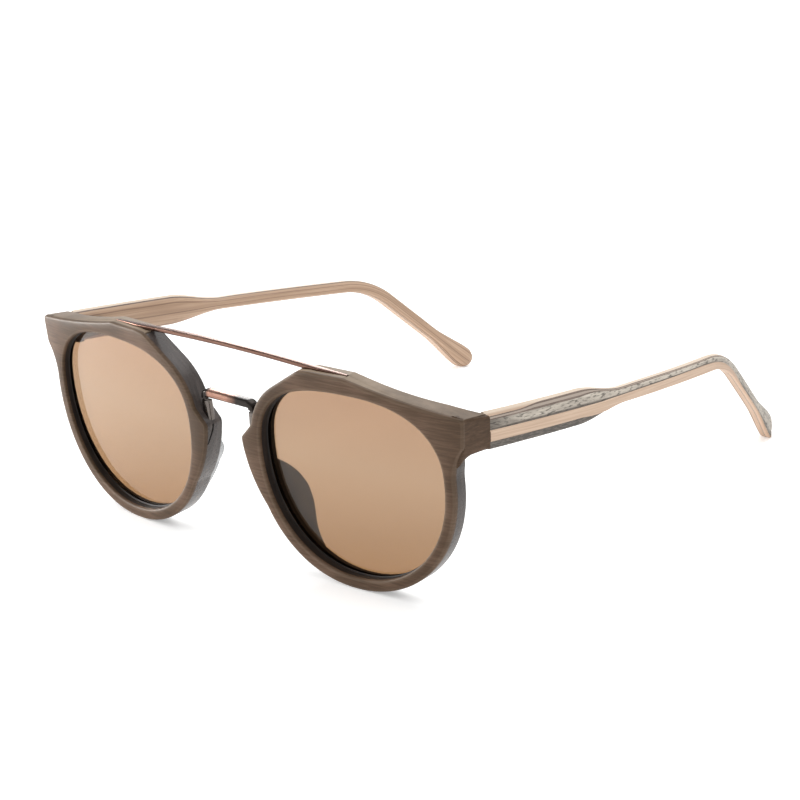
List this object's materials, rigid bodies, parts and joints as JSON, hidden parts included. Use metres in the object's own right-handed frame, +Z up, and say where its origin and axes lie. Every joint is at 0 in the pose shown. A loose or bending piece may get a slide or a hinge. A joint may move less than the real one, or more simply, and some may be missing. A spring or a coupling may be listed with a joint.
{
  "type": "sunglasses",
  "caption": "Panto sunglasses with wood-faced rims, brown tinted lenses, a copper brow bar and bridge, and laminated wooden temples that fold on barrel hinges",
  "frame": {"origin": "on the table, in the middle of the footprint, on the plane of symmetry", "axes": "+X to the wearer's left, +Y from the front towards the temple tips, +Z up"},
  "size_m": [0.1426, 0.1576, 0.0536],
  "materials": {
    "walnut_wood": "oiled, fine straight grain",
    "acetate": "polished dark grey",
    "tinted_lens": "brown tint",
    "copper_plate": "satin copper plating",
    "gunmetal": "dark plated steel",
    "tan_wood": "light sanded wood",
    "grey_wood": "grey dyed veneer with open grain",
    "dark_wood": "dark brown thin veneer"
  },
  "bodies": {
    "front": {"left_rim_face": "walnut_wood", "right_rim_face": "walnut_wood", "left_rim_back": "acetate", "right_rim_back": "acetate", "left_lens": "tinted_lens", "right_lens": "tinted_lens", "left_nose_pad": "acetate", "right_nose_pad": "acetate", "left_endpiece": "walnut_wood", "right_endpiece": "walnut_wood", "brow_bar": "copper_plate", "brow_bar_pins": "gunmetal", "bridge": "copper_plate", "bridge_pins": "gunmetal", "left_front_leaf": "gunmetal", "right_front_leaf": "gunmetal", "front_leaf_rivets": "gunmetal", "hinge_screws": "gunmetal"},
    "left_temple": {"left_veneer_ply": "tan_wood", "left_grey_ply": "grey_wood", "left_outer_line_ply": "dark_wood", "left_core_ply": "tan_wood", "left_inner_line_ply": "dark_wood", "left_inner_ply": "tan_wood", "left_temple_leaf": "gunmetal", "left_temple_rivets": "gunmetal"},
    "right_temple": {"right_veneer_ply": "tan_wood", "right_grey_ply": "grey_wood", "right_outer_line_ply": "dark_wood", "right_core_ply": "tan_wood", "right_inner_line_ply": "dark_wood", "right_inner_ply": "tan_wood", "right_temple_leaf": "gunmetal", "right_temple_rivets": "gunmetal"}
  },
  "joints": [
    {"name": "left_temple_fold", "type": "hinge", "parent": "front", "child": "left_temple", "pos_m": [0.0654, -0.06471, 0.0419], "axis": [0, 0, 1], "range_deg": [0, 85]},
    {"name": "right_temple_fold", "type": "hinge", "parent": "front", "child": "right_temple", "pos_m": [-0.0654, -0.06471, 0.0419], "axis": [0, 0, -1], "range_deg": [0, 78]}
  ]
}
